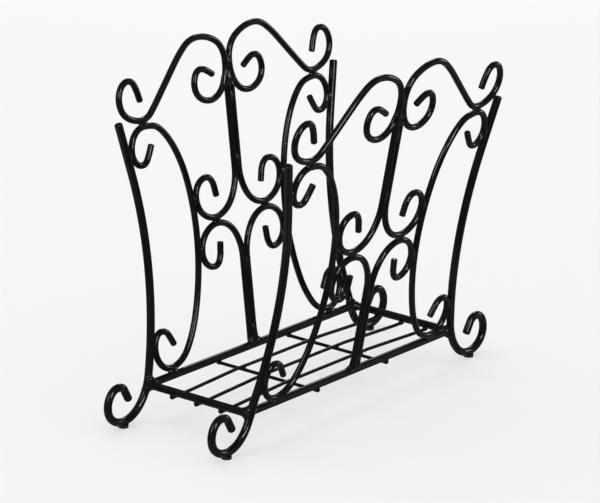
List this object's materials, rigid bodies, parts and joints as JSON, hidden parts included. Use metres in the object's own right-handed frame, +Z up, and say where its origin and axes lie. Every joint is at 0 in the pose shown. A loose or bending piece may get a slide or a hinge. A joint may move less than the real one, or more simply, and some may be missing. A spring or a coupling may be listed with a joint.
{
  "type": "magazine rack",
  "caption": "Free-standing magazine rack of black round rod: two splayed scrollwork panels on a wire-floored frame, with curled feet on small round pads.",
  "frame": {"origin": "on the floor under the middle of the rack", "axes": "+X along the rack's length to its right, +Y from the front panel to the back panel, +Z up"},
  "size_m": [0.4784, 0.2388, 0.3683],
  "materials": {
    "black_paint_leg": "gloss black paint over round steel rod",
    "black_paint_scroll": "gloss black paint over bent steel rod",
    "black_paint_bar": "gloss black paint over straight steel rod",
    "black_paint_wire": "gloss black paint over steel wire",
    "black_paint_weld": "gloss black paint over smooth weld beads",
    "pad_rubber": "matt black moulded rubber"
  },
  "bodies": {
    "root": {"long_bar_front": "black_paint_bar", "long_bar_back": "black_paint_bar", "short_bar_left": "black_paint_bar", "short_bar_right": "black_paint_bar", "long_wire_front": "black_paint_wire", "long_wire_middle": "black_paint_wire", "long_wire_back": "black_paint_wire", "cross_wire_left": "black_paint_wire", "cross_wire_right": "black_paint_wire", "leg_front_left": "black_paint_leg", "foot_pad_front_left": "pad_rubber", "crest_scroll_front_left": "black_paint_scroll", "harp_scroll_front_left": "black_paint_scroll", "upper_j_scroll_front_left": "black_paint_scroll", "lower_cane_scroll_front_left": "black_paint_scroll", "leg_front_right": "black_paint_leg", "foot_pad_front_right": "pad_rubber", "crest_scroll_front_right": "black_paint_scroll", "harp_scroll_front_right": "black_paint_scroll", "upper_j_scroll_front_right": "black_paint_scroll", "lower_cane_scroll_front_right": "black_paint_scroll", "leg_back_left": "black_paint_leg", "foot_pad_back_left": "pad_rubber", "crest_scroll_back_left": "black_paint_scroll", "harp_scroll_back_left": "black_paint_scroll", "upper_j_scroll_back_left": "black_paint_scroll", "lower_cane_scroll_back_left": "black_paint_scroll", "leg_back_right": "black_paint_leg", "foot_pad_back_right": "pad_rubber", "crest_scroll_back_right": "black_paint_scroll", "harp_scroll_back_right": "black_paint_scroll", "upper_j_scroll_back_right": "black_paint_scroll", "lower_cane_scroll_back_right": "black_paint_scroll", "weld_beads_front_panel": "black_paint_weld", "weld_beads_back_panel": "black_paint_weld", "weld_beads_base": "black_paint_weld"}
  },
  "joints": []
}
